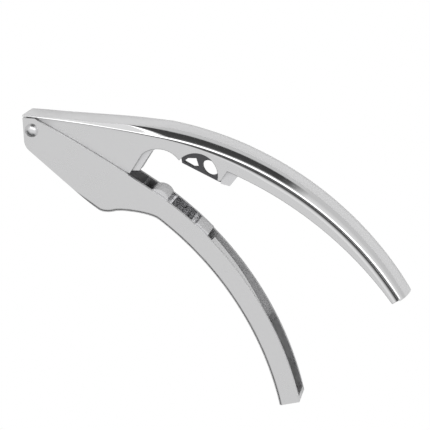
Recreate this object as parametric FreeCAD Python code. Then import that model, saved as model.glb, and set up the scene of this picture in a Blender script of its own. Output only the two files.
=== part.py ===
"""Two-lever nutcracker: a channel-shaped lower lever, a domed upper lever, two jaw inserts and one rivet.

The part lies on its side. The origin is on the axis of the pivot rivet, in the plane the part lies on.
+Z runs up along the rivet, +X runs along the lower lever's rim and +Y points to the upper lever.
Both levers are drawn shut, rim on rim, and the upper one is then turned open about the rivet.
"""
import FreeCAD, Part
import math
import os

Vector = FreeCAD.Vector
UP = Vector(0, 0, 1)
PIVOT = Vector(0, 0, 0)

# Overall sizes, in millimetres and degrees
width = 18.0
open_angle = 23.4
rim_height = 8.4
shoulder_x = 60.4
nose_x = -5.2
shoulder_radius = 700.0
handle_radius = 156.0
upper_handle_turn = 47.5
lower_handle_turn = 43.6

# Clearances
side_clearance = 0.3
pin_clearance = 0.05
insert_clearance = 0.05
stop_clearance = 0.35
rim_gap = 0.6
extra_opening = 3.0

# Pivot rivet
pin_radius = 2.0
head_radius = 3.05
head_height = 1.4
tail_radius = 3.0
tail_depth = 1.0

# Lower lever: a channel with a deep, open-bottomed front
wall = 2.0
floor_thickness = 1.7
end_wall = 2.2
channel_depth = 9.5
front_corner_x = -6.9
front_corner_y = 3.0
toe_x = 1.2
toe_drop = 8.2
belly_x = 43.7
belly_drop = 13.5
belly_mid_x = 51.0
belly_mid_drop = 9.7
belly_mid_slope = 50.0
belly_open_x = 46.8
handle_start_turn = 3.5
toe_round = 2.5
underside_round = 1.8
keel_gap = 3.56
keel_end_turn = 30.0
keel_rise_start = 5.5
keel_rise_middle = 4.7
keel_rise_end = 3.5
keel_slope_fall = 3.4
keel_slope_width = 2.4
keel_sunk = 0.5
stop_length = 12.0

# Upper lever: a domed back over two cheeks that enter the channel
cheek_wall = 2.2
ear_radius = 3.4
back_edge_nose = 0.5
back_edge_shoulder = 4.2
back_edge_tip = 2.7
crown_nose = 0.4
crown_shoulder = 2.5
crown_tip = 2.4
edge_round_share = 0.45
shoulder_share = 0.3
shoulder_reach = 1.35
hollow_start = 3.0
nose_setback = 1.2
low_edge_share = 0.6
web_depth_root = 6.7
web_depth_mid = 6.4
web_depth_tip = 4.2
back_skin = 0.3
run_sections = 6
handle_sections = 24

# Jaw cut-outs in the upper lever, x from the pivot and depth below the rim
heel_x = 46.6
heel_drop = 19.4
notch_left_x = 50.6
notch_left_drop = 9.6
notch_top_x = 58.1
notch_top_drop = 5.7
tooth_x = 67.5
tooth_drop = 8.9
arch_top_x = 75.2
arch_top_drop = 4.2
foot_x = 85.9
foot_drop = 14.6
foot_heel_x = 87.4
foot_heel_drop = 14.3
foot_back_x = 89.5

# Upper jaw insert: a thick arm, a thin windowed plate and a thick foot
arm_width = 3.2
arm_drop = 0.6
insert_heel_setback = 0.5
insert_heel_lift = 1.2
plate_thickness = 3.0
chord_setback = 0.8
chord_left_drop = 10.9
chord_right_drop = 15.9
insert_foot_x = 91.6
insert_foot_drop = 16.2
insert_back_x = 94.3
insert_back_drop = 11.3
insert_recess = 0.4
window_long = 4.0
window_short = 2.9
window_x = 81.2
window_drop = 10.6
window_tilt = -37.0
left_window_corners = [(69.0, 10.1), (70.6, 8.2), (74.3, 7.5), (76.2, 11.3), (73.6, 11.7)]

# Lower jaw insert
front_tooth_x = 54.6
front_foot_x = 52.6
valley_x = 57.0
valley_drop = 4.2
saddle_start_x = 58.6
saddle_start_drop = 1.4
saddle_top_x = 60.8
saddle_crown = 0.2
saddle_end_x = 67.4
pocket_end_x = 84.4
pocket_depth = 5.6
land_end_x = 91.4
land_rise = 1.0
far_wall = 1.5
ridge_count = 5
ridge_height = 1.0
ridge_half = 0.9
insert_deep_drop = 28.4

# Heights that follow from the sizes above, and how far the cutting shapes reach past the part
upper_z = wall + side_clearance
hollow_z = upper_z + cheek_wall
reach = 60.0


def run_point(x, rise=0.0):
    """A point over the rim's nearly straight run, and the rim's outward direction there."""
    turn = math.asin((x - shoulder_x) / shoulder_radius)
    out = Vector(math.sin(turn), math.cos(turn), 0)
    centre = Vector(shoulder_x, rim_height - shoulder_radius, 0)
    return centre + out * (shoulder_radius + rise), out


def handle_point(turn_degrees, rise=0.0):
    """A point over the rim's curved handle run, and the rim's outward direction there."""
    turn = math.radians(turn_degrees)
    out = Vector(math.sin(turn), math.cos(turn), 0)
    centre = Vector(shoulder_x, rim_height - handle_radius, 0)
    return centre + out * (handle_radius + rise), out


def at(x, drop):
    """A point at distance x along the lever and a drop below the rim's highest line."""
    return Vector(x, rim_height - drop, 0)


def line(a, b):
    return Part.LineSegment(a, b).toShape()


def arc(a, b, c):
    return Part.Arc(a, b, c).toShape()


def prism(edges, z_low, z_high):
    """A flat outline raised from one height to another."""
    face = Part.Face(Part.Wire(Part.__sortEdges__(edges)))
    face.translate(UP * z_low)
    return face.extrude(UP * (z_high - z_low))


def rim_edges(turn_end, x_start, rise=0.0):
    """The rim's two arcs, from the hinge end to the handle's tip."""
    start = run_point(x_start, rise)[0]
    middle = run_point((x_start + shoulder_x) / 2, rise)[0]
    shoulder = run_point(shoulder_x, rise)[0]
    bend = handle_point(turn_end / 2, rise)[0]
    tip = handle_point(turn_end, rise)[0]
    return [arc(start, middle, shoulder), arc(shoulder, bend, tip)], start, tip


def lower_rim_edges():
    """The lower lever's rim, which keeps clear of the upper lever's back near the hinge."""
    start = run_point(toe_x, -rim_gap)[0]
    middle = run_point((toe_x + shoulder_x) / 2, -rim_gap / 2)[0]
    shoulder = run_point(shoulder_x)[0]
    bend = handle_point(lower_handle_turn / 2)[0]
    tip = handle_point(lower_handle_turn)[0]
    return [arc(start, middle, shoulder), arc(shoulder, bend, tip)], start, tip


def spline(points, first_heading, last_heading):
    curve = Part.BSplineCurve()
    curve.interpolate(Points=points, InitialTangent=first_heading, FinalTangent=last_heading)
    return curve.toShape()


def underside_edges(inset, turn_end):
    """The lower lever's underside from the belly to the tip, moved inwards by a wall's thickness."""
    toe = at(toe_x, rim_height + toe_drop)
    belly = at(belly_x, rim_height + belly_drop)
    along = (belly - toe).normalize()
    belly_in = belly + Vector(-along.y, along.x, 0) * inset
    slope = math.radians(belly_mid_slope)
    middle = at(belly_mid_x, rim_height + belly_mid_drop)
    middle_in = middle + Vector(-math.sin(slope), math.cos(slope), 0) * inset
    start, out = handle_point(handle_start_turn, inset - channel_depth)
    heading = Vector(out.y, -out.x, 0)
    bend = handle_point((handle_start_turn + turn_end) / 2, inset - channel_depth)[0]
    tip = handle_point(turn_end, inset - channel_depth)[0]
    dip = spline([belly_in, middle_in, start], along * 8, heading * 14)
    return [dip, arc(start, bend, tip)], belly_in, tip


def stop_line():
    """The line that the lower lever's front top edge keeps below, so that the upper lever can open."""
    opened = FreeCAD.Rotation(UP, open_angle + extra_opening)
    nose = run_point(nose_x, -stop_clearance)[0]
    further = run_point(nose_x + stop_length, -stop_clearance)[0]
    return opened.multVec(nose), opened.multVec(further)


def lower_cavity():
    """The space between the lower lever's cheeks, over its floor."""
    end_turn = lower_handle_turn - math.degrees(end_wall / handle_radius)
    edges, belly_in, tip_in = underside_edges(floor_thickness, end_turn)
    tip_out = handle_point(end_turn, reach)[0]
    corner_low = Vector(-reach, -reach, 0)
    corner_high = Vector(-reach, reach, 0)
    belly_low = Vector(belly_in.x, -reach, 0)
    edges += [line(tip_in, tip_out), line(tip_out, corner_high), line(corner_high, corner_low)]
    edges += [line(corner_low, belly_low), line(belly_low, belly_in)]
    return prism(edges, wall, width - wall)


def open_belly():
    """The part of the belly that has cheeks but no floor."""
    corner = Vector(-reach, -reach, wall)
    return Part.makeBox(belly_open_x + reach, reach + rim_height, width - 2 * wall, corner)


def lower_lever():
    rim, rim_start, rim_tip = lower_rim_edges()
    under, belly, under_tip = underside_edges(0.0, lower_handle_turn)
    toe = at(toe_x, rim_height + toe_drop)
    front = Vector(front_corner_x, front_corner_y, 0)
    stop_a, stop_b = stop_line()
    slope = (stop_b.y - stop_a.y) / (stop_b.x - stop_a.x)
    front_top = Vector(front_corner_x, stop_a.y + (front_corner_x - stop_a.x) * slope, 0)
    above_toe = Vector(front_corner_x, rim_start.y, 0)
    edges = rim + under + [line(under_tip, rim_tip), line(belly, toe), line(toe, front)]
    edges += [line(front, above_toe), line(above_toe, rim_start)]
    body = prism(edges, 0, width)

    body = body.makeFillet(toe_round, [e for e in body.Edges if is_toe(e)])
    body = body.makeFillet(underside_round, [e for e in body.Edges if is_underside(e)])

    wedge_end = stop_b + (stop_b - stop_a)
    wedge_top = Vector(front_corner_x, reach, 0)
    wedge_edges = [line(front_top, wedge_end), line(wedge_end, wedge_top), line(wedge_top, front_top)]
    wedge = prism(wedge_edges, 0, width)
    body = body.cut(wedge).cut(lower_cavity()).cut(open_belly())
    body = body.fuse(keels()).removeSplitter()

    hole = Part.makeCylinder(pin_radius, width, PIVOT, UP)
    return body.cut(hole).cut(tail_cone())


def is_toe(edge):
    """Whether an edge runs across the lever at its front lower corner."""
    toe_middle = at(toe_x, rim_height + toe_drop) + UP * width / 2
    return edge.BoundBox.ZLength > width / 2 and edge.CenterOfMass.distanceToPoint(toe_middle) < toe_round


def is_underside(edge):
    """Whether an edge follows the underside of a cheek, from the belly to the tip."""
    middle = edge.valueAt((edge.FirstParameter + edge.LastParameter) / 2)
    on_side = edge.BoundBox.ZLength < 0.01
    behind_belly = edge.BoundBox.XMin > belly_x - 1 and edge.Length > end_wall * 5
    return on_side and behind_belly and middle.y < rim_of(middle.x) - channel_depth / 2


def rim_of(x):
    """The rim's height at a distance along the lever."""
    if x < shoulder_x:
        return run_point(x)[0].y
    return rim_height - handle_radius + math.sqrt(handle_radius ** 2 - (x - shoulder_x) ** 2)


def keels():
    """Sloping ribs in both corners of the channel. They start behind the jaw insert and sink towards the tip."""
    floor_drop = channel_depth - floor_thickness
    start_turn = math.degrees(math.asin((land_end_x + keel_gap - shoulder_x) / handle_radius))
    turns = [start_turn, (start_turn + keel_end_turn) / 2, keel_end_turn]
    rises = [keel_rise_start, keel_rise_middle, keel_rise_end]

    def outline(fall, z):
        top = [handle_point(turn, rise - fall - floor_drop)[0] + UP * z for turn, rise in zip(turns, rises)]
        low = [handle_point(turn, floor_thickness / 2 - channel_depth)[0] + UP * z for turn in turns]
        return Part.Wire([arc(*top), line(top[2], low[2]), arc(low[2], low[1], low[0]), line(low[0], top[0])])

    in_wall = outline(-keel_sunk * keel_slope_fall / keel_slope_width, wall - keel_sunk)
    in_channel = outline(keel_slope_fall, wall + keel_slope_width)
    far_keel = Part.makeLoft([in_wall, in_channel], True, True)
    return [far_keel, far_keel.mirror(UP * width / 2, UP)]


def tail_cone():
    return Part.makeCone(tail_radius, pin_radius, tail_depth, PIVOT, UP)


def pivot_rivet():
    """A round-headed rivet, its tail hammered flush into a countersink."""
    shank = Part.makeCylinder(pin_radius, width, PIVOT, UP)
    ball_radius = (head_radius ** 2 + head_height ** 2) / (2 * head_height)
    centre = Vector(0, 0, width + head_height - ball_radius)
    ball = Part.makeSphere(ball_radius, centre)
    cap = ball.common(Part.makeCylinder(ball_radius, 2 * ball_radius, UP * width, UP))
    return shank.fuse([cap, tail_cone()]).removeSplitter()


def back_section(point, out, edge, crown):
    """One cross-section of the domed back, as a closed wire across the lever."""
    corner = edge * edge_round_share
    climb = corner + crown * shoulder_share
    inset = corner * shoulder_reach
    radius = (climb ** 2 + inset ** 2) / (2 * inset)
    halfway = (math.atan2(inset - radius, climb) - math.pi / 2) / 2
    bend_rise = edge - corner + radius * math.cos(halfway)
    bend_in = radius + radius * math.sin(halfway)

    def spot(rise, z):
        return point + out * rise + UP * z

    foot_low = spot(0, 0)
    side_low = spot(edge - corner, 0)
    bend_low = spot(bend_rise, bend_in)
    shoulder_low = spot(edge - corner + climb, inset)
    top = spot(edge + crown, width / 2)
    shoulder_high = spot(edge - corner + climb, width - inset)
    bend_high = spot(bend_rise, width - bend_in)
    side_high = spot(edge - corner, width)
    foot_high = spot(0, width)
    return Part.Wire([
        line(foot_low, side_low),
        arc(side_low, bend_low, shoulder_low),
        arc(shoulder_low, top, shoulder_high),
        arc(shoulder_high, bend_high, side_high),
        line(side_high, foot_high),
        line(foot_high, foot_low),
    ])


def domed_back():
    """The upper lever's back, lofted along the rim from the nose to the tip."""
    sections = []
    run = shoulder_x - nose_x
    for step in range(run_sections):
        share = step / run_sections
        point, out = run_point(nose_x + run * share)
        edge = back_edge_nose + (back_edge_shoulder - back_edge_nose) * share
        crown = crown_nose + (crown_shoulder - crown_nose) * share
        sections.append(back_section(point, out, edge, crown))
    for step in range(handle_sections + 1):
        share = step / handle_sections
        point, out = handle_point(upper_handle_turn * share)
        edge = back_edge_shoulder + (back_edge_tip - back_edge_shoulder) * share ** 2
        crown = crown_shoulder + (crown_tip - crown_shoulder) * share ** 2
        sections.append(back_section(point, out, edge, crown))
    return Part.makeLoft(sections, True, True)


def jaw_outline():
    """The cheeks' lower edge, from the heel behind the pivot to the back of the jaw's foot."""
    heel = at(heel_x, heel_drop)
    notch_left = at(notch_left_x, notch_left_drop)
    notch_top = at(notch_top_x, notch_top_drop)
    tooth = at(tooth_x, tooth_drop)
    arch_top = at(arch_top_x, arch_top_drop)
    foot = at(foot_x, foot_drop)
    foot_heel = at(foot_heel_x, foot_heel_drop)
    foot_back = Vector(foot_back_x, rim_of(foot_back_x) - web_depth_root, 0)
    edges = [line(heel, notch_left), arc(notch_left, notch_top, tooth), arc(tooth, arch_top, foot)]
    edges += [line(foot, foot_heel), line(foot_heel, foot_back)]
    return edges, heel, foot_back


def web():
    """The upper lever's two cheeks as one thick plate, before the space between them is cut."""
    jaw, heel, foot_back = jaw_outline()
    top, top_start, top_tip = rim_edges(upper_handle_turn, nose_x + nose_setback, back_skin)
    middle = handle_point(upper_handle_turn * low_edge_share, -web_depth_mid)[0]
    low_tip = handle_point(upper_handle_turn, -web_depth_tip)[0]
    tangent = math.atan2(heel.y, heel.x) - math.pi / 2 - math.asin(ear_radius / heel.Length)
    ear_low = Vector(math.cos(tangent), math.sin(tangent), 0) * ear_radius
    ear_left = Vector(-ear_radius, 0, 0)
    edges = jaw + top + [arc(foot_back, middle, low_tip), line(low_tip, top_tip)]
    edges += [line(top_start, ear_left), line(ear_left, ear_low), line(ear_low, heel)]
    plate = prism(edges, upper_z, width - upper_z)
    ear = Part.makeCylinder(ear_radius, width - 2 * upper_z, UP * upper_z, UP)
    return plate.fuse(ear)


def web_hollow():
    """The space between the upper lever's cheeks, open downwards and shut at the tip."""
    end_turn = upper_handle_turn - math.degrees(end_wall / handle_radius)
    start_x = ear_radius + hollow_start
    roof, roof_start, roof_tip = rim_edges(end_turn, start_x)
    low_tip = handle_point(end_turn, -reach)[0]
    low_start = Vector(start_x, -reach, 0)
    edges = roof + [line(roof_tip, low_tip), line(low_tip, low_start), line(low_start, roof_start)]
    return prism(edges, hollow_z, width - hollow_z)


def upper_lever():
    body = domed_back().fuse(web().cut(web_hollow())).removeSplitter()
    hole = Part.makeCylinder(pin_radius + pin_clearance, width, PIVOT, UP)
    return opened(body.cut(hole))


def opened(shape):
    turned = shape.copy()
    turned.rotate(PIVOT, UP, open_angle)
    return turned


def upper_jaw_insert():
    """A cracking plate between the upper cheeks: its arm and foot are thick, its windowed middle is thin."""
    low = hollow_z + insert_clearance
    high = width - low
    heel = at(heel_x + insert_heel_setback, heel_drop - insert_heel_lift)
    arm = Vector(arm_width, arm_drop, 0)
    arm_top = at(notch_left_x, notch_left_drop) + arm
    notch_top = at(notch_top_x, notch_top_drop - insert_recess)
    tooth = at(tooth_x, tooth_drop - insert_recess)
    chord_left = at(tooth_x + chord_setback, chord_left_drop)
    chord_right = at(foot_x, chord_right_drop)
    foot = at(insert_foot_x, insert_foot_drop)
    back = at(insert_back_x, insert_back_drop)
    back_top = Vector(insert_back_x, rim_of(insert_back_x) - insert_clearance, 0)
    front_top = run_point(heel_x, -insert_clearance)[0]
    shoulder = run_point(shoulder_x, -insert_clearance)[0]
    between = run_point((heel_x + shoulder_x) / 2, -insert_clearance)[0]
    bend_turn = math.degrees(math.asin((insert_back_x - shoulder_x) / handle_radius)) / 2
    bend = handle_point(bend_turn, -insert_clearance)[0]
    corners = [front_top, Vector(heel_x, heel.y, 0), heel, heel + arm, arm_top]
    edges = [line(a, b) for a, b in zip(corners, corners[1:])]
    edges += [arc(arm_top, notch_top, tooth), line(tooth, chord_left), line(chord_left, chord_right)]
    edges += [line(chord_right, foot), line(foot, back), line(back, back_top)]
    edges += [arc(back_top, bend, shoulder), arc(shoulder, between, front_top)]
    plate = prism(edges, low, high)
    plate_low = (width - plate_thickness) / 2
    plate = plate.cut(plate_recess(low, plate_low)).cut(plate_recess(width - plate_low, high))
    return opened(plate.cut(left_window()).cut(right_window()))


def plate_recess(low, high):
    """The space beside the thin plate, from behind the tooth to the front of the foot."""
    length = foot_heel_x - tooth_x
    return Part.makeBox(length, 2 * reach, high - low, Vector(tooth_x, -reach, low))


def left_window():
    corners = [at(x, drop) for x, drop in left_window_corners]
    edges = [line(a, b) for a, b in zip(corners, corners[1:] + corners[:1])]
    return prism(edges, 0, width)


def right_window():
    oval = Part.Ellipse(PIVOT, window_long, window_short).toShape()
    oval.rotate(PIVOT, UP, window_tilt)
    oval.translate(at(window_x, window_drop))
    return prism([oval], 0, width)


def over_rim(x, rise=0.0):
    return Vector(x, rim_of(x) + rise, 0)


def lower_jaw_insert():
    """A block between the lower lever's cheeks: a saddle, a ridged nut pocket and a wall on its far side."""
    low = wall + insert_clearance
    high = width - low
    foot = at(front_foot_x, insert_deep_drop)
    tooth = over_rim(front_tooth_x)
    valley = at(valley_x, valley_drop)
    saddle_start = over_rim(saddle_start_x, -saddle_start_drop)
    saddle_top = over_rim(saddle_top_x, saddle_crown + land_rise)
    saddle_end = over_rim(saddle_end_x, land_rise)
    pocket = Vector((saddle_end_x + pocket_end_x) / 2, rim_of(saddle_end_x) - pocket_depth, 0)
    land_start = over_rim(pocket_end_x, land_rise)
    land_end = over_rim(land_end_x, land_rise)
    back = at(land_end_x, insert_deep_drop)
    edges = [line(foot, tooth), line(tooth, valley), line(valley, saddle_start)]
    edges += [arc(saddle_start, saddle_top, saddle_end), arc(saddle_end, pocket, land_start)]
    edges += [line(land_start, land_end), line(land_end, back), line(back, foot)]
    block = prism(edges, low, high)
    ridges = pocket_ridges(saddle_end, pocket, land_start, low, high)
    wall_top = over_rim((saddle_end_x + pocket_end_x) / 2, land_rise)
    side_edges = [arc(saddle_end, wall_top, land_start), arc(saddle_end, pocket, land_start)]
    side = prism(side_edges, low, low + far_wall)
    block = block.fuse(ridges + [side]).removeSplitter()
    return block.common(lower_cavity())


def pocket_ridges(start, middle, end, low, high):
    """Ridges across the large pocket's floor, evenly spaced along its curve."""
    bowl = arc(start, middle, end)
    ridges = []
    for number in range(ridge_count):
        share = (number + 1) / (ridge_count + 1)
        place = bowl.FirstParameter + (bowl.LastParameter - bowl.FirstParameter) * share
        point = bowl.valueAt(place)
        along = bowl.tangentAt(place)
        inward = (bowl.Curve.Center - point).normalize()
        left = point - along * ridge_half - inward * ridge_height
        right = point + along * ridge_half - inward * ridge_height
        peak = point + inward * ridge_height
        ridges.append(prism([line(left, right), line(right, peak), line(peak, left)], low, high))
    return ridges


def main():
    os.makedirs("parts", exist_ok=True)
    nodes = {
        "lower_lever": lower_lever(),
        "upper_lever": upper_lever(),
        "pivot_rivet": pivot_rivet(),
        "upper_jaw_insert": upper_jaw_insert(),
        "lower_jaw_insert": lower_jaw_insert(),
    }
    for name, shape in nodes.items():
        if not shape.isValid() or len(shape.Solids) != 1:
            raise ValueError(name + " is not one sound solid")
        shape.exportStep("parts/" + name + ".step")


main()
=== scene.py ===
"""Looks of the two-lever nutcracker: chrome levers, a steel rivet and darker jaw inserts on a pale table,
with painted shade in crevices and near-black painted shade on the jaw pockets' faces.
"""
import math
import bpy
from mathutils import Matrix, Quaternion, Vector


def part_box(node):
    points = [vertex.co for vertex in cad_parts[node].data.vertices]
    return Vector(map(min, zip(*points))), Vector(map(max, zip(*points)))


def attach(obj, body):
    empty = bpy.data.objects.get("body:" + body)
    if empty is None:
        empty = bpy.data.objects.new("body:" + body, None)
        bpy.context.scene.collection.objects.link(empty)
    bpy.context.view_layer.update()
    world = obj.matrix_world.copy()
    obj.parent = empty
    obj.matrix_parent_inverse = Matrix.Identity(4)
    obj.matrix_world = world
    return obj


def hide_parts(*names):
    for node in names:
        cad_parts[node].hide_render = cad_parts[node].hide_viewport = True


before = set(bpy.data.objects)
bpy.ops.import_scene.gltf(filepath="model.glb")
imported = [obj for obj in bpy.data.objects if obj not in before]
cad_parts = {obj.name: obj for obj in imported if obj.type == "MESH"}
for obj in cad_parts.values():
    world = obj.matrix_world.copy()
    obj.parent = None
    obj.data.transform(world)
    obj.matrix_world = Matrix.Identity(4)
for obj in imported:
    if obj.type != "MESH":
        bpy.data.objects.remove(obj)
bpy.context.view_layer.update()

mm = 0.001
X_AXIS, Y_AXIS, Z_AXIS = Vector((1, 0, 0)), Vector((0, 1, 0)), Vector((0, 0, 1))
PIVOT = Vector((0, 0, 0))

# Sizes shared by both levers; the width is the lower lever's own
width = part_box("lower_lever")[1].z
open_angle = math.radians(23.4)
rim_height = 8.4 * mm
shoulder_x = 60.4 * mm
nose_x = -5.2 * mm
shoulder_radius = 700 * mm
handle_radius = 156 * mm
upper_handle_turn = math.radians(47.5)
lower_handle_turn = math.radians(43.6)
rim_gap = 0.6 * mm
middle_z = width / 2

# Upper lever
back_height_nose = 0.8 * mm
back_height_shoulder = 6.66 * mm
back_height_tip = 5.06 * mm
back_lip = 0.25 * mm
bead_lean = math.radians(20)
bead_width = 0.42 * mm
side_lean_run = math.radians(7)
side_lean_handle = math.radians(27)
crown_lean_nose = math.radians(88)
crown_lean_handle = math.radians(64)
corner_nose = 0.2 * mm
corner_shoulder = 11.1 * mm
corner_tip = 6.4 * mm
swell_start = 0.72
swell_power = 1.3
lean_start = 0.8
nose_share = 0.5
bead_at_nose = 0.3
cove_depth = 3.2 * mm
cove_at_shoulder = 0.25
cove_least = 0.02
cove_steps = 8
run_rings = 40
handle_rings = 110
cove_full_turn = math.radians(24)
tip_round = 0.9 * mm
cheek_wall = 2.2 * mm
cheek_low = 2.3 * mm
cheek_setback = 1.2 * mm
cheek_skin = 0.3 * mm
ear_radius = 3.4 * mm
hollow_gap = 3 * mm
roof_sink = 0.02 * mm
web_mid_share = 0.6
web_depth_root = 6.7 * mm
web_depth_mid = 6.4 * mm
web_depth_tip = 4.2 * mm
pin_hole_radius = 2.05 * mm
end_wall = 2.2 * mm

# Jaw places as (distance along the lever, drop below the rim's highest line), in millimetres
jaw_heel_at = (46.6, 19.4)
notch_left_at = (50.6, 9.6)
notch_top_at = (58.1, 5.7)
tooth_at = (67.5, 8.9)
arch_top_at = (75.2, 4.2)
foot_at = (85.9, 14.6)
foot_heel_at = (87.4, 14.3)
foot_back_x = 89.5 * mm

# Upper jaw insert; places and the recess are in millimetres, as above
insert_clearance = 0.05 * mm
insert_recess = 0.4
insert_heel_at = (47.1, 18.2)
insert_back_x = 94.3 * mm
insert_corners_at = [(68.3, 10.9), (85.9, 15.9), (91.6, 16.2), (94.3, 11.3)]
arm_thickness = Vector((3.2, 0.6, 0)) * mm
plate_thickness = 3.0 * mm
plate_start_x = tooth_at[0] * mm
plate_end_x = foot_heel_at[0] * mm
left_window_at = [(69.0, 10.1), (70.6, 8.2), (74.3, 7.5), (76.2, 11.3), (73.6, 11.7)]
right_window_at = (81.2, 10.6)
right_window_half_length, right_window_half_width = 4.0, 2.9
right_window_tilt = math.radians(-37)
right_window_steps = 48

# Lower jaw insert; distances along the lever and rises over the rim, in millimetres
block_start_x = 52.6
front_tooth_x = 54.6
valley_at = (57.0, 4.2)
saddle_start_x, saddle_start_rise = 58.6, -1.4
saddle_top_x, saddle_top_rise = 60.8, 0.2
pocket_start_x, pocket_end_x, pocket_depth = 67.4, 84.4, 5.6
pocket_steps = 60
land_end_x, land_rise = 91.4, 1.0
ridge_count = 5
ridge_half, ridge_height, ridge_root = 0.9, 1.0, 1.0
far_wall = 1.5 * mm

# Lower lever
wall = 2.0 * mm
floor_thickness = 1.7 * mm
channel_depth = 9.5 * mm
front_corner = Vector((-6.9, 3.0, 0)) * mm
toe = Vector((1.2, -8.2, 0)) * mm
belly = Vector((43.7, -13.5, 0)) * mm
belly_mid = Vector((51.0, -9.7, 0)) * mm
belly_mid_slope = math.radians(50)
belly_open_x = 46.8 * mm
# How strongly the belly's curve keeps its headings, in millimetres
belly_pull, dip_pull, handle_pull = 8, 9, 14
handle_start_turn = math.radians(3.5)
toe_round = 2.5 * mm
underside_round = 1.8 * mm
stop_clearance = 0.35 * mm
stop_span = 12 * mm
extra_opening = math.radians(3)
keel_turns = [math.radians(turn) for turn in (12.8, 21.4, 30)]
keel_rises = [5.5 * mm, 4.7 * mm, 3.5 * mm]
keel_slope_fall = 3.4 * mm
keel_slope_width = 2.4 * mm
keel_sunk = 0.5 * mm
rim_round = 0.8 * mm
rim_round_gap = 10 * mm

# Rivet
head_radius = 3.05 * mm
head_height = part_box("pivot_rivet")[1].z - width
pin_radius = 2.0 * mm
tail_radius = 3.0 * mm
tail_depth = 1.0 * mm
head_foot_in = 0.1 * mm
head_foot_rise = 0.08 * mm
head_steps = 16
turning_steps = 72

edge_round = 0.28 * mm
small_edge_round = 0.14 * mm
close = 0.01 * mm
tool_reach = 60 * mm
lower_tool_reach = 40 * mm


# ---------------------------------------------------------------- the rim curve

def run_point(x, rise=0.0):
    """A point over the rim's nearly straight run."""
    turn = math.asin((x - shoulder_x) / shoulder_radius)
    centre = Vector((shoulder_x, rim_height - shoulder_radius, 0))
    return centre + Vector((math.sin(turn), math.cos(turn), 0)) * (shoulder_radius + rise)


def handle_point(turn, rise=0.0):
    """A point over the rim's curved handle run."""
    centre = Vector((shoulder_x, rim_height - handle_radius, 0))
    return centre + Vector((math.sin(turn), math.cos(turn), 0)) * (handle_radius + rise)


def at(x, drop):
    """A point a distance along the lever and a drop below the rim's highest line, both in millimetres."""
    return Vector((x * mm, rim_height - drop * mm, 0))


def rim_of(x):
    """The rim's height at a distance along the lever."""
    if x < shoulder_x:
        return run_point(x).y
    return rim_height - handle_radius + math.sqrt(handle_radius ** 2 - (x - shoulder_x) ** 2)


def run_points(start_x, end_x, rise, steps):
    return [run_point(start_x + (end_x - start_x) * step / steps, rise) for step in range(steps + 1)]


def handle_points(start_turn, end_turn, rise, steps):
    turns = [start_turn + (end_turn - start_turn) * step / steps for step in range(steps + 1)]
    return [handle_point(turn, rise) for turn in turns]


def arc_points(a, b, c, steps):
    """Points of the arc from a to c that passes b."""
    ab, ac = b - a, c - a
    cross = ab.x * ac.y - ab.y * ac.x
    offset_x = (ac.y * ab.length_squared - ab.y * ac.length_squared) / (2 * cross)
    offset_y = (ab.x * ac.length_squared - ac.x * ab.length_squared) / (2 * cross)
    centre = a + Vector((offset_x, offset_y, 0))
    start, passed, end = [math.atan2(p.y - centre.y, p.x - centre.x) for p in (a, b, c)]
    full = 2 * math.pi
    sweep = (end - start) % full
    if (passed - start) % full > sweep:
        sweep -= full
    radius = (a - centre).length
    turns = [start + sweep * step / steps for step in range(steps + 1)]
    return [centre + Vector((math.cos(turn), math.sin(turn), 0)) * radius for turn in turns]


def curve_points(a, heading_a, b, heading_b, steps):
    """Points of the smooth curve from a to b that leaves along one heading and arrives along the other."""
    points = []
    for step in range(steps + 1):
        t = step / steps
        points.append(
            a * (2 * t ** 3 - 3 * t ** 2 + 1)
            + heading_a * (t ** 3 - 2 * t ** 2 + t)
            + b * (3 * t ** 2 - 2 * t ** 3)
            + heading_b * (t ** 3 - t ** 2)
        )
    return points


def rectangle(left, right, low, high):
    corners = [(left, low), (right, low), (right, high), (left, high)]
    return [Vector((x, y, 0)) for x, y in corners]


def outline_of(*stretches):
    """One closed outline from stretches of points, with repeated points dropped."""
    same = 0.005 * mm
    outline = []
    for point in [point for stretch in stretches for point in stretch]:
        if not outline or (point - outline[-1]).length > same:
            outline.append(point)
    if (outline[0] - outline[-1]).length < same:
        outline.pop()
    return outline


# ---------------------------------------------------------------- workshop moves

def start_alone():
    bpy.ops.object.select_all(action="DESELECT")


def only(piece):
    start_alone()
    piece.select_set(True)
    bpy.context.view_layer.objects.active = piece


def select_edges(piece, wanted):
    """Selects the edges for which wanted(end, other end) is true."""
    only(piece)
    bpy.ops.object.mode_set(mode="EDIT")
    bpy.ops.mesh.select_mode(type="EDGE")
    bpy.ops.mesh.select_all(action="DESELECT")
    bpy.ops.object.mode_set(mode="OBJECT")
    places = [vertex.co for vertex in piece.data.vertices]
    for edge in piece.data.edges:
        edge.select = wanted(places[edge.vertices[0]], places[edge.vertices[1]])


def bevel_selected(piece, radius, segments):
    only(piece)
    bpy.ops.object.mode_set(mode="EDIT")
    bpy.ops.mesh.bevel(offset=radius, segments=segments, affect="EDGES", clamp_overlap=True)
    bpy.ops.object.mode_set(mode="OBJECT")


def plate(name, outline, low, high):
    """A flat outline, set out as a ring and extruded from one height to another."""
    start_alone()
    bpy.ops.mesh.primitive_circle_add(vertices=len(outline), radius=width, fill_type="NGON")
    piece = bpy.context.object
    piece.name = name
    for vertex, point in zip(piece.data.vertices, outline):
        vertex.co = (point.x, point.y, low)
    bpy.ops.object.mode_set(mode="EDIT")
    bpy.ops.mesh.select_all(action="SELECT")
    bpy.ops.mesh.extrude_region_move(TRANSFORM_OT_translate={"value": (0, 0, high - low)})
    bpy.ops.mesh.select_all(action="SELECT")
    bpy.ops.mesh.normals_make_consistent(inside=False)
    bpy.ops.object.mode_set(mode="OBJECT")
    return piece


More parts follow.
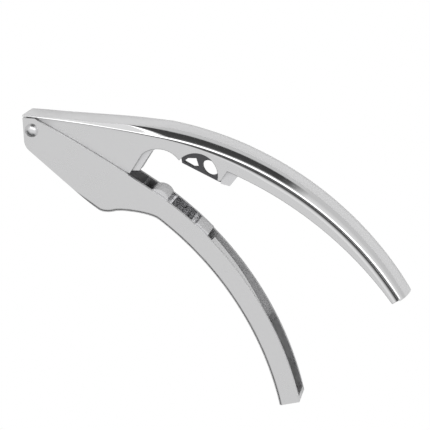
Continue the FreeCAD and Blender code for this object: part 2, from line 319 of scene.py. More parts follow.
def combine(piece, tool, operation):
    """Cuts a tool from a piece or unites the two, and removes the tool."""
    only(piece)
    change = piece.modifiers.new(operation.lower(), "BOOLEAN")
    change.operation = operation
    change.solver = "EXACT"
    change.object = tool
    bpy.ops.object.modifier_apply(modifier=change.name)
    bpy.data.objects.remove(tool)
    return piece


def cut(piece, tool):
    return combine(piece, tool, "DIFFERENCE")


def unite(piece, tool):
    return combine(piece, tool, "UNION")


def peg(name, place, radius, low, high, sides=64):
    """A round bar along the rivet's direction, used to drill a hole."""
    start_alone()
    middle = Vector((place.x, place.y, (low + high) / 2))
    bpy.ops.mesh.primitive_cylinder_add(vertices=sides, radius=radius, depth=high - low, location=middle)
    bpy.ops.object.transform_apply(location=True)
    bpy.context.object.name = name
    return bpy.context.object


def break_edges(piece, radius, segments=3, least_angle=28):
    """Rounds every edge sharper than an angle, as polishing does, and shades flats flat."""
    weld, flat_angle = 0.004 * mm, math.radians(0.4)
    only(piece)
    bpy.ops.object.mode_set(mode="EDIT")
    bpy.ops.mesh.select_all(action="SELECT")
    bpy.ops.mesh.remove_doubles(threshold=weld)
    bpy.ops.mesh.dissolve_limited(angle_limit=flat_angle)
    bpy.ops.object.mode_set(mode="OBJECT")
    rounding = piece.modifiers.new("rounding", "BEVEL")
    rounding.width = radius
    rounding.segments = segments
    rounding.limit_method = "ANGLE"
    rounding.angle_limit = math.radians(least_angle)
    rounding.use_clamp_overlap = True
    rounding.miter_outer = "MITER_ARC"
    bpy.ops.object.modifier_apply(modifier=rounding.name)
    smooth(piece)


def smooth(piece, least_angle=32):
    only(piece)
    bpy.ops.object.shade_smooth_by_angle(angle=math.radians(least_angle))
    weigh = piece.modifiers.new("weigh", "WEIGHTED_NORMAL")
    weigh.keep_sharp = True
    weigh.weight = 90
    bpy.ops.object.modifier_apply(modifier=weigh.name)


def two_finishes(piece, main, second, wanted):
    """Gives a piece its main finish, and the second one to the faces for which wanted(face) is true."""
    piece.data.materials.clear()
    piece.data.materials.append(main)
    piece.data.materials.append(second)
    for face in piece.data.polygons:
        face.material_index = 1 if wanted(face) else 0


def turn_open(piece):
    """Turns a piece of the upper lever from shut to its resting angle."""
    piece.data.transform(Matrix.Rotation(open_angle, 4, "Z"))
    return piece


# ---------------------------------------------------------------- finishes

def add_node(tree, kind, x, y, **inputs):
    """A shader node with its inputs set."""
    node = tree.nodes.new(kind)
    node.location = (x, y)
    for name, value in inputs.items():
        node.inputs[name.replace("_", " ")].default_value = value
    return node


def ramp(tree, x, y, source, stops):
    """Turns a grey value into another by stops of (place, grey)."""
    node = tree.nodes.new("ShaderNodeValToRGB")
    node.location = (x, y)
    elements = node.color_ramp.elements
    while len(elements) < len(stops):
        elements.new(0.5)
    for element, (place, grey) in zip(elements, stops):
        element.position = place
        element.color = (grey, grey, grey, 1)
    tree.links.new(source, node.inputs["Fac"])
    return node.outputs["Color"]


def noise_of(tree, place, x, y, scale, detail, rough=0.5, stretch=None, turn=0.0):
    """Noise on the piece's own coordinates, stretched into strokes if asked."""
    if stretch:
        mapping = tree.nodes.new("ShaderNodeMapping")
        mapping.location = (x - 200, y)
        mapping.inputs["Scale"].default_value = stretch
        mapping.inputs["Rotation"].default_value = (0, 0, turn)
        tree.links.new(place, mapping.inputs["Vector"])
        place = mapping.outputs["Vector"]
    node = add_node(tree, "ShaderNodeTexNoise", x, y, Scale=scale, Detail=detail, Roughness=rough)
    tree.links.new(place, node.inputs["Vector"])
    return node.outputs["Fac"]


def mix_greys(tree, x, y, a, b, share, blend="MIX"):
    node = tree.nodes.new("ShaderNodeMix")
    node.data_type = "RGBA"
    node.blend_type = blend
    node.location = (x, y)
    node.inputs["Factor"].default_value = share
    tree.links.new(a, node.inputs[6])
    tree.links.new(b, node.inputs[7])
    return node.outputs[2]


def metal(name, tone, roughness, spread, peel, scratches, painted_crevice_shade=0.0):
    """A plated or polished metal: cloudy polish, orange peel, two sets of scratches and painted shade
    darkening its crevices.
    """
    made = bpy.data.materials.new(name)
    made.use_nodes = True
    tree = made.node_tree
    shader = tree.nodes["Principled BSDF"]
    shader.inputs["Metallic"].default_value = 1.0
    place = tree.nodes.new("ShaderNodeTexCoord")
    place.location = (-1500, 0)
    place = place.outputs["Object"]

    cloud = noise_of(tree, place, -1000, 300, 70, 4)
    speckle = noise_of(tree, place, -1000, 50, 900, 3, 0.6)
    along = noise_of(tree, place, -1000, -200, 260, 2, 0.5, (1, 22, 22), math.radians(30))
    across = noise_of(tree, place, -1000, -450, 300, 2, 0.5, (20, 1, 20), math.radians(-12))
    fine_along = ramp(tree, -750, -200, along, [(0.62, 0.0), (0.68, 1.0)])
    fine_across = ramp(tree, -750, -450, across, [(0.66, 0.0), (0.71, 1.0)])
    strokes = mix_greys(tree, -450, -300, fine_along, fine_across, 0.5, "ADD")

    low, high = max(roughness - spread, 0.02), roughness + spread
    polish = ramp(tree, -750, 300, cloud, [(0.32, low), (0.7, high)])
    grain = ramp(tree, -750, 50, speckle, [(0.3, low), (0.75, high)])
    worn = mix_greys(tree, -450, 200, polish, grain, 0.35)
    scuffed = mix_greys(tree, -200, 200, worn, strokes, scratches, "ADD")
    tree.links.new(scuffed, shader.inputs["Roughness"])

    tone_low = [channel * 0.94 for channel in tone]
    shade = tree.nodes.new("ShaderNodeMix")
    shade.data_type = "RGBA"
    shade.location = (-200, 500)
    shade.inputs[6].default_value = (*tone_low, 1)
    shade.inputs[7].default_value = (*tone, 1)
    tree.links.new(cloud, shade.inputs["Factor"])
    colour = shade.outputs[2]
    # Painted shade: the base colour is darkened where ambient occlusion finds a crevice or recess.
    if painted_crevice_shade:
        crevice_occlusion = add_node(tree, "ShaderNodeAmbientOcclusion", -700, 750, Distance=4 * mm)
        crevice_shade_grey = ramp(tree, -450, 750, crevice_occlusion.outputs["AO"], [(0.15, 1 - painted_crevice_shade), (0.75, 1.0)])
        colour = mix_greys(tree, 0, 600, colour, crevice_shade_grey, 1.0, "MULTIPLY")
    tree.links.new(colour, shader.inputs["Base Color"])

    dents = mix_greys(tree, -200, -200, cloud, speckle, 0.25)
    bump = add_node(tree, "ShaderNodeBump", 0, -200, Strength=peel, Distance=0.05 * mm)
    tree.links.new(dents, bump.inputs["Height"])
    groove = add_node(tree, "ShaderNodeBump", 200, -200, Strength=scratches, Distance=0.01 * mm)
    groove.invert = True
    tree.links.new(strokes, groove.inputs["Height"])
    tree.links.new(bump.outputs["Normal"], groove.inputs["Normal"])
    tree.links.new(groove.outputs["Normal"], shader.inputs["Normal"])
    return made


def dress(piece, finish, body, node):
    if not piece.data.materials:
        piece.data.materials.append(finish)
    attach(piece, body)
    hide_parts(node)


# ---------------------------------------------------------------- upper lever

def back_section(height, corner, side_lean, crown_lean, bead):
    """Half of the back's cross-section as (rise, inset from the near side) points.

    A cove, a lip with a narrow bead, a leaning side, a corner of the given radius and a crown that meets the
    other half. The side's length and the crown's radius follow from the height and the lever's half width.
    """
    inner = cheek_low + cheek_wall / 2
    points = [(0.0, middle_z), (0.0, inner), (-cove_depth, inner)]
    for step in range(cove_steps + 1):
        turn = math.pi / 2 * step / cove_steps
        points.append((cove_depth * (math.sin(turn) - 1), back_lip + (cheek_low - back_lip) * math.cos(turn)))
    sin_side, cos_side = math.sin(side_lean), math.cos(side_lean)
    sin_crown, cos_crown = math.sin(crown_lean), math.cos(crown_lean)
    lip_rise = back_lip * (1 + math.sin(bead_lean)) + bead * math.cos(bead_lean)
    lip_inset = back_lip * (1 - math.cos(bead_lean)) + bead * math.sin(bead_lean)
    climb = height - lip_rise - corner * (sin_crown - sin_side)
    across = middle_z - lip_inset - corner * (cos_side - cos_crown)
    spare = climb * cos_crown - across * (1 - sin_crown)
    side = max(0.0, spare / (cos_side * cos_crown - sin_side * (1 - sin_crown)))
    crown = (across - side * sin_side) / cos_crown
    rise, inset, lean = 0.0, back_lip, -math.pi / 2
    # Each stretch is an arc's radius, first lean, last lean and steps, and the length of the flat after it
    path = [
        (back_lip, -math.pi / 2, bead_lean, 5, bead),
        (0.0, bead_lean, side_lean, 1, side),
        (corner, side_lean, crown_lean, 16, 0.0),
        (crown, crown_lean, math.pi / 2, 12, 0.0),
    ]
    for radius, first_lean, last_lean, steps, flat in path:
        first_rise, first_inset = rise, inset
        for step in range(1, steps + 1):
            lean = first_lean + (last_lean - first_lean) * step / steps
            rise = first_rise + radius * (math.sin(lean) - math.sin(first_lean))
            inset = first_inset + radius * (math.cos(first_lean) - math.cos(lean))
            if radius:
                points.append((rise, inset))
        if flat or not radius:
            rise, inset = rise + flat * math.cos(lean), inset + flat * math.sin(lean)
            points.append((rise, inset))
    points[-1] = (points[-1][0], middle_z)
    return points


def full_ring(half):
    """A whole cross-section as (rise, height over the table) points, from the half on the near side."""
    near_half = [(rise, width - inset) for rise, inset in half]
    far_half = [(rise, inset) for rise, inset in reversed(half[1:-1])]
    return near_half + far_half


def back_sizes(share, on_handle):
    """The section's sizes and the cove's fullness at a share of the run or of the handle."""
    if on_handle:
        height = back_height_shoulder + (back_height_tip - back_height_shoulder) * share ** 2
        corner = corner_shoulder + (corner_tip - corner_shoulder) * share ** 2
        cove = min(1.0, cove_at_shoulder + share * upper_handle_turn / cove_full_turn)
        return (height, corner, side_lean_handle, crown_lean_handle, bead_width), cove
    height = back_height_nose + (back_height_shoulder - back_height_nose) * share
    swell = max(0.0, (share - swell_start) / (1 - swell_start))
    corner = corner_nose + (corner_shoulder - corner_nose) * swell ** swell_power
    leaning = max(0.0, (share - lean_start) / (1 - lean_start))
    side_lean = side_lean_run + (side_lean_handle - side_lean_run) * leaning
    crown_lean = crown_lean_nose + (crown_lean_handle - crown_lean_nose) * min(1.0, share / nose_share)
    bead = bead_width * min(1.0, bead_at_nose + share / nose_share)
    return (height, corner, side_lean, crown_lean, bead), max(cove_least, cove_at_shoulder * share)


def shape_back(piece, template):
    """Gives every spun ring of the back its own cross-section."""
    run_centre = Vector((shoulder_x, rim_height - shoulder_radius, 0))
    handle_centre = Vector((shoulder_x, rim_height - handle_radius, 0))
    sections = {}
    for vertex in piece.data.vertices:
        on_handle = vertex.co.x > shoulder_x + 0.001 * mm
        centre, radius = (handle_centre, handle_radius) if on_handle else (run_centre, shoulder_radius)
        arm = Vector((vertex.co.x, vertex.co.y, 0)) - centre
        turn = math.atan2(arm.x, arm.y)
        if on_handle:
            share = turn / upper_handle_turn
        else:
            share = (math.sin(turn) * shoulder_radius + shoulder_x - nose_x) / (shoulder_x - nose_x)
        key = (on_handle, round(share, 5))
        if key not in sections:
            shape, cove = back_sizes(share, on_handle)
            ring = full_ring(back_section(*shape))
            sections[key] = [(rise if rise > 0 else rise * cove, z) for rise, z in ring]
        rise, z = arm.length - radius, vertex.co.z
        apart = [abs(ring_rise - rise) + abs(ring_z - z) for ring_rise, ring_z in template]
        rise, z = sections[key][apart.index(min(apart))]
        place = centre + arm.normalized() * (radius + rise)
        vertex.co = (place.x, place.y, z)


def upper_back():
    """The upper lever's domed back: one cross-section spun along the run and the handle, then shaped."""
    weld = 0.002 * mm
    ring = full_ring(back_section(*back_sizes(0.0, True)[0]))
    start_alone()
    bpy.ops.mesh.primitive_circle_add(vertices=len(ring), radius=width, fill_type="NOTHING")
    piece = bpy.context.object
    piece.name = "upper_lever_back"
    for vertex, (rise, height) in zip(piece.data.vertices, ring):
        place = run_point(nose_x, rise)
        vertex.co = (place.x, place.y, height)
    bpy.ops.object.mode_set(mode="EDIT")
    bpy.ops.mesh.select_all(action="SELECT")
    run_turn = math.asin((shoulder_x - nose_x) / shoulder_radius)
    run_centre = (shoulder_x, rim_height - shoulder_radius, 0)
    handle_centre = (shoulder_x, rim_height - handle_radius, 0)
    bpy.ops.mesh.spin(steps=run_rings, angle=run_turn, center=run_centre, axis=(0, 0, 1))
    bpy.ops.mesh.spin(steps=handle_rings, angle=upper_handle_turn, center=handle_centre, axis=(0, 0, 1))
    bpy.ops.object.mode_set(mode="OBJECT")
    shape_back(piece, ring)
    only(piece)
    bpy.ops.object.mode_set(mode="EDIT")
    bpy.ops.mesh.select_all(action="SELECT")
    bpy.ops.mesh.remove_doubles(threshold=weld)
    bpy.ops.mesh.select_mode(type="EDGE")
    bpy.ops.mesh.select_all(action="DESELECT")
    bpy.ops.mesh.select_non_manifold()
    bpy.ops.mesh.fill_holes(sides=0)
    bpy.ops.mesh.select_all(action="SELECT")
    bpy.ops.mesh.normals_make_consistent(inside=False)
    bpy.ops.object.mode_set(mode="OBJECT")
    tip_out = Vector((math.cos(upper_handle_turn), -math.sin(upper_handle_turn), 0))
    tip = handle_point(upper_handle_turn)

    def on_tip(a, b):
        return abs((a - tip).dot(tip_out)) < close and abs((b - tip).dot(tip_out)) < close

    select_edges(piece, on_tip)
    bevel_selected(piece, tip_round, 5)
    smooth(piece, 40)
    return turn_open(piece)


def jaw_line():
    """The cheeks' lower edge: the heel, the open notch, the tooth, the arch and the foot."""
    heel, tooth, foot = at(*jaw_heel_at), at(*tooth_at), at(*foot_at)
    foot_back = Vector((foot_back_x, rim_of(foot_back_x) - web_depth_root, 0))
    notch = arc_points(at(*notch_left_at), at(*notch_top_at), tooth, 20)
    arch = arc_points(tooth, at(*arch_top_at), foot, 30)
    return [heel] + notch + arch + [at(*foot_heel_at), foot_back], heel, foot_back


def upper_cheeks():
    """The upper lever's two cheeks under its back, with the hollow between them and the rivet's hole."""
    jaw_edge, heel, foot_back = jaw_line()
    start_x = nose_x + cheek_setback
    low_middle = handle_point(upper_handle_turn * web_mid_share, -web_depth_mid)
    low_tip = handle_point(upper_handle_turn, -web_depth_tip)
    under = arc_points(foot_back, low_middle, low_tip, 60)
    top = handle_points(upper_handle_turn, 0, cheek_skin, 60)
    top += run_points(shoulder_x, start_x, cheek_skin, 16)
    tangent = math.atan2(heel.y, heel.x) - math.pi / 2 - math.asin(ear_radius / heel.length)
    ear_low = Vector((math.cos(tangent), math.sin(tangent), 0)) * ear_radius
    ear_left = Vector((-ear_radius, 0, 0))
    ear_corner = (ear_low + ear_left).normalized() * ear_radius
    ear = arc_points(ear_left, ear_corner, ear_low, 14)
    outline = outline_of(jaw_edge, under, top, ear)
    piece = plate("upper_lever_cheeks", outline, cheek_low, width - cheek_low)

    end_turn = upper_handle_turn - end_wall / handle_radius
    hollow_start = ear_radius + hollow_gap
    roof = run_points(hollow_start, shoulder_x, -roof_sink, 16) + handle_points(0, end_turn, -roof_sink, 60)
    sides = [handle_point(end_turn, -tool_reach), Vector((hollow_start, -tool_reach, 0))]
    inner = cheek_low + cheek_wall
    cut(piece, plate("hollow", outline_of(roof, sides), inner, width - inner))
    cut(piece, peg("drill", PIVOT, pin_hole_radius, 0, width))
    break_edges(piece, edge_round)
    return turn_open(piece)


def upper_insert(polished, pocket_shade_finish):
    """The cracking plate between the upper cheeks: a thick arm and foot, and a thin windowed middle."""
    low = cheek_low + cheek_wall + insert_clearance
    heel_x = jaw_heel_at[0] * mm
    heel = at(*insert_heel_at)
    arm_top = at(*notch_left_at) + arm_thickness
    notch_top = at(notch_top_at[0], notch_top_at[1] - insert_recess)
    tooth = at(tooth_at[0], tooth_at[1] - insert_recess)
    notch = arc_points(arm_top, notch_top, tooth, 20)
    corners = [at(*corner) for corner in insert_corners_at]
    back_turn = math.asin((insert_back_x - shoulder_x) / handle_radius)
    top = handle_points(back_turn, 0, -insert_clearance, 20)
    top += run_points(shoulder_x, heel_x, -insert_clearance, 4)
    outline = outline_of([Vector((heel_x, heel.y, 0)), heel, heel + arm_thickness], notch, corners, top)
    piece = plate("upper_jaw_insert_plate", outline, low, width - low)

    cut(piece, plate("window", [at(*corner) for corner in left_window_at], 0, width))
    tilt = Matrix.Rotation(right_window_tilt, 3, "Z")
    oval = []
    for step in range(right_window_steps):
        turn = 2 * math.pi * step / right_window_steps
        lengthwise = right_window_half_length * math.cos(turn)
        crosswise = right_window_half_width * math.sin(turn)
        oval.append(at(*right_window_at) + tilt @ Vector((lengthwise, crosswise, 0)) * mm)
    cut(piece, plate("window", oval, 0, width))

    beside = rectangle(plate_start_x, plate_end_x, -tool_reach, tool_reach)
    plate_low = middle_z - plate_thickness / 2
    cut(piece, plate("recess", beside, -mm, plate_low))
    cut(piece, plate("recess", beside, width - plate_low, width + mm))
    break_edges(piece, edge_round)

    # Painted shade: the recessed faces of the thin middle get the near-black second finish in place of the
    # pocket's shade.
    def in_recess(face):
        return plate_start_x < face.center.x < plate_end_x + edge_round / 2

    two_finishes(piece, polished, pocket_shade_finish, in_recess)
    return turn_open(piece)


# ---------------------------------------------------------------- lower lever

def underside(inset, turn_end):
    """The underside from the belly to the tip, moved inwards by a wall's thickness."""
    along = (belly - toe).normalized()
    start = belly + Vector((-along.y, along.x, 0)) * inset
    slope = Vector((math.cos(belly_mid_slope), math.sin(belly_mid_slope), 0))
    middle = belly_mid + Vector((-slope.y, slope.x, 0)) * inset
    handle_start = handle_point(handle_start_turn, inset - channel_depth)
    heading = Vector((math.cos(handle_start_turn), -math.sin(handle_start_turn), 0))
    dip = curve_points(start, along * belly_pull * mm, middle, slope * belly_pull * mm, 8)
    dip += curve_points(middle, slope * dip_pull * mm, handle_start, heading * handle_pull * mm, 12)
    return dip + handle_points(handle_start_turn, turn_end, inset - channel_depth, 70), start


def keel(near):
    """A sloping rib in one corner of the channel, which sinks towards the tip."""
    floor_drop = channel_depth - floor_thickness

    def outline(fall):
        top = [handle_point(turn, rise - fall - floor_drop) for turn, rise in zip(keel_turns, keel_rises)]
        low = handle_points(keel_turns[2], keel_turns[0], floor_thickness / 2 - channel_depth, 30)
        return outline_of(arc_points(*top, 30), low)

    in_wall = outline(-keel_sunk * keel_slope_fall / keel_slope_width)
    in_channel = outline(keel_slope_fall)
    low, high = wall - keel_sunk, wall + keel_slope_width
    piece = plate("keel", in_wall, low, high)
    for vertex in piece.data.vertices:
        if vertex.co.z > wall:
            place = Vector((vertex.co.x, vertex.co.y, 0))
            nearest = min(range(len(in_wall)), key=lambda n: (in_wall[n] - place).length)
            vertex.co = (in_channel[nearest].x, in_channel[nearest].y, high)
    if near:
        for vertex in piece.data.vertices:
            vertex.co.z = width - vertex.co.z
        only(piece)
        bpy.ops.object.mode_set(mode="EDIT")
        bpy.ops.mesh.select_all(action="SELECT")
        bpy.ops.mesh.normals_make_consistent(inside=False)
        bpy.ops.object.mode_set(mode="OBJECT")
    return piece


def lower_body():
    """The lower lever: cheeks, open belly and channel, with a sloped front, soft edges and the two ribs."""
    under = underside(0.0, lower_handle_turn)[0]
    run_middle = run_point((toe.x + shoulder_x) / 2, -rim_gap / 2)
    run_rim = arc_points(run_point(shoulder_x), run_middle, run_point(toe.x, -rim_gap), 12)
    rim = handle_points(lower_handle_turn, 0, 0, 70) + run_rim
    above_toe = Vector((front_corner.x, rim[-1].y, 0))
    piece = plate("lower_lever_channel", outline_of([toe], under, rim, [above_toe, front_corner]), 0, width)

    def at_toe(a, b):
        return abs(a.z - b.z) > width / 2 and (Vector((a.x, a.y, 0)) - toe).length < close

    select_edges(piece, at_toe)
    bevel_selected(piece, toe_round, 8)

    def is_underside(a, b):
        flat = abs(a.z - b.z) < close
        behind = min(a.x, b.x) > belly.x - mm
        below = (a.y + b.y) / 2 < rim_of(min((a.x + b.x) / 2, shoulder_x + handle_radius)) - channel_depth / 2
        short = (a - b).length < 5 * mm
        return flat and behind and below and short

    select_edges(piece, is_underside)
    bevel_selected(piece, underside_round, 6)

    def is_near_rim(a, b):
        on_near_side = min(a.z, b.z) > width - close
        on_rim = max(abs(a.y - rim_of(a.x)), abs(b.y - rim_of(b.x))) < 0.05 * mm
        return on_near_side and on_rim and min(a.x, b.x) > shoulder_x + rim_round_gap

    select_edges(piece, is_near_rim)
    bevel_selected(piece, rim_round, 5)

    opened = Matrix.Rotation(open_angle + extra_opening, 3, "Z")
    stop_a = opened @ run_point(nose_x, -stop_clearance)
    stop_b = opened @ run_point(nose_x + stop_span, -stop_clearance)
    slope = (stop_b.y - stop_a.y) / (stop_b.x - stop_a.x)
    front_top = Vector((front_corner.x - mm, stop_a.y + (front_corner.x - mm - stop_a.x) * slope, 0))
    beyond = stop_b + (stop_b - stop_a)
    over_front = Vector((front_top.x, 30 * mm, 0))
    cut(piece, plate("wedge", [front_top, beyond, over_front], -mm, width + mm))

    reach = lower_tool_reach
    end_turn = lower_handle_turn - end_wall / handle_radius
    inside, belly_inside = underside(floor_thickness, end_turn)
    sides = [handle_point(end_turn, reach), Vector((-reach, reach, 0)), Vector((-reach, -reach, 0))]
    sides.append(Vector((belly_inside.x, -reach, 0)))
    cut(piece, plate("cavity", outline_of(inside, sides), wall, width - wall))
    under_belly, over_rim = -50 * mm, 10 * mm
    belly_box = rectangle(-reach, belly_open_x, under_belly, over_rim)
    cut(piece, plate("open_belly", belly_box, wall, width - wall))

    for near in (False, True):
        unite(piece, keel(near))
    cut(piece, peg("drill", PIVOT, pin_radius, -mm, width + mm))
    break_edges(piece, edge_round)
    return piece


def lower_insert(polished, pocket_shade_finish):
    """The block between the lower cheeks: a valley, a saddle, a ridged pocket with a far wall, and a land."""
    low = wall + insert_clearance
    high = width - low

    def on_rim(x, rise=0.0):
        return Vector((x * mm, rim_of(x * mm) + rise * mm, 0))

    foot_y, far_below, past_tip = -20 * mm, -100 * mm, 150 * mm
    pocket_start, pocket_end = on_rim(pocket_start_x, land_rise), on_rim(pocket_end_x, land_rise)
    lowest = rim_of(pocket_start_x * mm) - pocket_depth * mm
    pocket_low = Vector(((pocket_start.x + pocket_end.x) / 2, lowest, 0))
    saddle_start = on_rim(saddle_start_x, saddle_start_rise)
    saddle = arc_points(saddle_start, on_rim(saddle_top_x, saddle_top_rise + land_rise), pocket_start, 14)
    pocket = arc_points(pocket_start, pocket_low, pocket_end, pocket_steps)
    land = [on_rim(land_end_x, land_rise), Vector((land_end_x * mm, foot_y, 0))]
    land.append(Vector((block_start_x * mm, foot_y, 0)))
    outline = outline_of([on_rim(front_tooth_x), at(*valley_at)], saddle, pocket, land)
    piece = plate("lower_jaw_insert_block", outline, low, high)

    for number in range(1, ridge_count + 1):
        spot = pocket_steps * number // (ridge_count + 1)
        point = pocket[spot]
        along = (pocket[spot + 1] - pocket[spot - 1]).normalized()
        inward = Vector((-along.y, along.x, 0))
        left = point - along * ridge_half * mm - inward * ridge_root * mm
        right = point + along * ridge_half * mm - inward * ridge_root * mm
        unite(piece, plate("ridge", [left, right, point + inward * ridge_height * mm], low, high))

    wall_top = on_rim((pocket_start_x + pocket_end_x) / 2, land_rise)
    side_wall = outline_of(arc_points(pocket_start, wall_top, pocket_end, 30), pocket[::-1])
    unite(piece, plate("far_wall", side_wall, low, low + far_wall))
    inside, belly_inside = underside(floor_thickness, lower_handle_turn)
    sides = [Vector((past_tip, far_below, 0)), Vector((belly_inside.x, far_below, 0))]
    cut(piece, plate("below_floor", outline_of(inside, sides), 0, width))
    break_edges(piece, small_edge_round)

    # Painted shade: the valley's side faces get the near-black second finish in place of the pocket's shade.
    def in_valley(face):
        return face.center.x < saddle_start_x * mm and abs(face.normal.z) < 0.5

    two_finishes(piece, polished, pocket_shade_finish, in_valley)
    return piece


# ---------------------------------------------------------------- rivet

def rivet():
    """A round-headed rivet turned about its axis, with its tail hammered flush."""
    ball = (head_radius ** 2 + head_height ** 2) / (2 * head_height)
    centre = width + head_height - ball
    widest = math.asin(head_radius / ball)
    profile = [(0, 0), (tail_radius, 0), (pin_radius, tail_depth), (pin_radius, width)]
    profile += [(head_radius - head_foot_in, width), (head_radius, width + head_foot_rise)]
    for step in range(1, head_steps + 1):
        turn = widest * (1 - step / head_steps)
        profile.append((ball * math.sin(turn), centre + ball * math.cos(turn)))
    start_alone()
    bpy.ops.mesh.primitive_circle_add(vertices=len(profile), radius=width, fill_type="NOTHING")
    piece = bpy.context.object
    piece.name = "pivot_rivet_turned"
    for vertex, (radius, height) in zip(piece.data.vertices, profile):
        vertex.co = (radius, 0, height)
    bpy.ops.object.mode_set(mode="EDIT")
    bpy.ops.mesh.select_all(action="SELECT")
    bpy.ops.mesh.spin(steps=turning_steps, angle=2 * math.pi, center=(0, 0, 0), axis=(0, 0, 1))
    bpy.ops.mesh.select_all(action="SELECT")
    bpy.ops.mesh.remove_doubles(threshold=0.003 * mm)
    bpy.ops.mesh.delete_loose(use_verts=True, use_edges=True, use_faces=False)
    bpy.ops.mesh.select_all(action="SELECT")
    bpy.ops.mesh.normals_make_consistent(inside=False)
    bpy.ops.object.mode_set(mode="OBJECT")
    smooth(piece, 30)
    return piece


# ---------------------------------------------------------------- table, light and camera

def table():
    """A pale matt table, plain white to the camera, just under the part."""
    size, drop = 6, 0.02 * mm
    start_alone()
    bpy.ops.mesh.primitive_plane_add(size=size, location=(part_middle.x, 0, -drop))
    floor = bpy.context.object
    floor.name = "table"
    bpy.ops.object.transform_apply(location=True)
    finish = bpy.data.materials.new("pale_table")
    finish.use_nodes = True
    tree = finish.node_tree
    shader = tree.nodes["Principled BSDF"]
    shader.inputs["Roughness"].default_value = 0.7
    shader.inputs["Specular IOR Level"].default_value = 0.2
    place = tree.nodes.new("ShaderNodeTexCoord")
    mottle = noise_of(tree, place.outputs["Object"], -400, 0, 6, 2)
    tree.links.new(ramp(tree, -200, 0, mottle, [(0.0, 0.64), (1.0, 0.70)]), shader.inputs["Base Color"])
    white = add_node(tree, "ShaderNodeEmission", 0, -300, Strength=1.0)
    seen = tree.nodes.new("ShaderNodeLightPath")
    mix = tree.nodes.new("ShaderNodeMixShader")
    tree.links.new(seen.outputs["Is Camera Ray"], mix.inputs[0])
    tree.links.new(shader.outputs[0], mix.inputs[1])
    tree.links.new(white.outputs[0], mix.inputs[2])
    tree.links.new(mix.outputs[0], tree.nodes["Material Output"].inputs["Surface"])
    floor.data.materials.append(finish)


def softbox(name, place, aim, size, power):
    light = bpy.data.lights.new(name, "AREA")
    light.shape = "RECTANGLE"
    light.size, light.size_y = size
    light.energy = power
    box = bpy.data.objects.new(name, light)
    bpy.context.scene.collection.objects.link(box)
    box.location = place
    box.rotation_euler = (aim - place).to_track_quat("-Z", "Y").to_euler()
    return box


def opening(tree, place, height, azimuth, half_width, low, high, top_fade):
    """Where the studio's wall is dark, as a mask: around an azimuth, between two heights, with soft edges."""
    soft = math.radians(3)
    flat = add_node(tree, "ShaderNodeVectorMath", -800, 0)
    flat.operation = "MULTIPLY"
    flat.inputs[1].default_value = (1, 1, 0)
    tree.links.new(place, flat.inputs[0])
    level = add_node(tree, "ShaderNodeVectorMath", -600, 0)
    level.operation = "NORMALIZE"
    tree.links.new(flat.outputs[0], level.inputs[0])
    towards = add_node(tree, "ShaderNodeVectorMath", -400, 0)
    towards.operation = "DOT_PRODUCT"
    towards.inputs[1].default_value = (math.cos(azimuth), math.sin(azimuth), 0)
    tree.links.new(level.outputs[0], towards.inputs[0])
    edges = [(math.cos(half_width + soft), 0.0), (math.cos(half_width - soft), 1.0)]
    aside = ramp(tree, -200, 0, towards.outputs["Value"], edges)
    bottom, top = math.sin(low), math.sin(high)
    fade = math.sin(soft)
    fully_light = math.sin(high + top_fade)
    stops = [(bottom - fade, 0.0), (bottom, 1.0), (top, 1.0), (fully_light, 0.0)]
    upright = ramp(tree, -200, -300, height, stops)
    return mix_greys(tree, 0, -100, aside, upright, 1.0, "MULTIPLY")


def studio_walls(room, ceiling, openings):
    """A pale room with dark openings in its walls, so that chrome has something dark to mirror."""
    world = bpy.data.worlds.new("studio")
    bpy.context.scene.world = world
    world.use_nodes = True
    tree = world.node_tree
    place = tree.nodes.new("ShaderNodeTexCoord").outputs["Generated"]
    split = tree.nodes.new("ShaderNodeSeparateXYZ")
    tree.links.new(place, split.inputs[0])
    light = ramp(tree, 0, -300, split.outputs["Z"], [(0.0, room), (0.4, room), (0.75, ceiling)])
    for degrees, light_left in openings:
        angles = {name: math.radians(value) for name, value in degrees.items()}
        mask = opening(tree, place, split.outputs["Z"], **angles)
        shaded = ramp(tree, 200, -100, mask, [(0.0, 1.0), (1.0, light_left)])
        light = mix_greys(tree, 400, 0, light, shaded, 1.0, "MULTIPLY")
    background = tree.nodes["Background"]
    tree.links.new(light, background.inputs["Color"])
    seen = tree.nodes.new("ShaderNodeLightPath")
    plain = tree.nodes.new("ShaderNodeBackground")
    plain.inputs["Color"].default_value = (1, 1, 1, 1)
    mix = tree.nodes.new("ShaderNodeMixShader")
    tree.links.new(seen.outputs["Is Camera Ray"], mix.inputs[0])
    tree.links.new(background.outputs[0], mix.inputs[1])
    tree.links.new(plain.outputs[0], mix.inputs[2])
    tree.links.new(mix.outputs[0], tree.nodes["World Output"].inputs["Surface"])


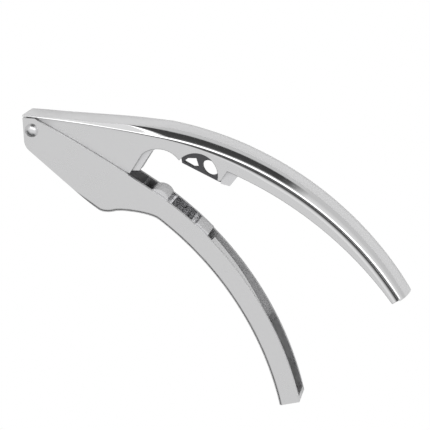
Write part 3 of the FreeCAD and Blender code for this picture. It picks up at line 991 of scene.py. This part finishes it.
def camera():
    """A long lens over the part, leaning towards the upper lever."""
    lean = math.radians(16.7)
    lean_azimuth = math.radians(88.3)
    twist = math.radians(34.3)
    view_width = 192 * mm
    lens, sensor = 150, 36
    aside, above = 81.9 * mm, -37.8 * mm
    axis = Vector((-math.sin(lean_azimuth), math.cos(lean_azimuth), 0))
    tip = Quaternion(axis, lean)
    turned = tip @ Quaternion(Z_AXIS, twist)
    right, up, back = turned @ X_AXIS, turned @ Y_AXIS, turned @ Z_AXIS
    target = Vector((0, 0, width)) + right * aside + up * above
    data = bpy.data.cameras.new("camera")
    data.lens = lens
    data.sensor_width = sensor
    data.clip_start = 0.01
    eye = bpy.data.objects.new("camera", data)
    bpy.context.scene.collection.objects.link(eye)
    eye.rotation_mode = "QUATERNION"
    eye.location = target + back * (view_width * lens / sensor)
    eye.rotation_quaternion = turned
    bpy.context.scene.camera = eye


# The near-black pocket tone is painted shade for the jaw pockets; every finish but the rivet's also paints
# shade into crevices.
chrome_tone, satin_tone, pocket_shade_tone = (0.76, 0.76, 0.765), (0.65, 0.65, 0.655), (0.09, 0.09, 0.095)
jaw_tone, steel_tone = (0.66, 0.66, 0.67), (0.70, 0.70, 0.71)
bright = metal("bright_chrome", chrome_tone, 0.07, spread=0.03, peel=0.10, scratches=0.10, painted_crevice_shade=0.5)
satin = metal("satin_chrome", satin_tone, 0.30, spread=0.05, peel=0.16, scratches=0.12, painted_crevice_shade=0.35)
pocket_shade_metal = metal("painted_pocket_shade_metal", pocket_shade_tone, 0.28, spread=0.08, peel=0.35, scratches=0.2, painted_crevice_shade=0.4)
jaw = metal("jaw_chrome", jaw_tone, 0.16, spread=0.06, peel=0.25, scratches=0.16, painted_crevice_shade=0.5)
steel = metal("rivet_steel_finish", steel_tone, 0.28, spread=0.04, peel=0.18, scratches=0.12)

camera()
dress(upper_back(), bright, "upper", "upper_lever")
dress(upper_cheeks(), satin, "upper", "upper_lever")
dress(upper_insert(jaw, pocket_shade_metal), jaw, "upper", "upper_jaw_insert")
dress(lower_body(), satin, "lower", "lower_lever")
dress(lower_insert(jaw, pocket_shade_metal), jaw, "lower", "lower_jaw_insert")
dress(rivet(), steel, "lower", "pivot_rivet")

part_middle = Vector((0.08, 0, 0))
table()

# Each dark opening's place in degrees, and the share of light that is left in it
behind_back = ({"azimuth": 119, "half_width": 30, "low": 19, "high": 45, "top_fade": 4}, 0.08)
before_jaws = ({"azimuth": 275, "half_width": 50, "low": 4, "high": 30, "top_fade": 30}, 0.12)
studio_walls(room=0.70, ceiling=0.95, openings=[behind_back, before_jaws])

table_size, table_power = (2.4, 2.4), 17
table_light = softbox("table_light", Vector((0.1, 0, 1.6)), Vector((0.1, 0, 0)), table_size, table_power)
table_light.visible_glossy = False
strip_size, strip_brightness = (2.0, 0.5), 1.35
strip_power = strip_brightness * math.pi * strip_size[0] * strip_size[1]
strip_place = part_middle + Vector((-0.16, 0.60, 1.36))
softbox("strip_light", strip_place, part_middle, strip_size, strip_power)
bpy.context.scene.view_settings.view_transform = "Standard"
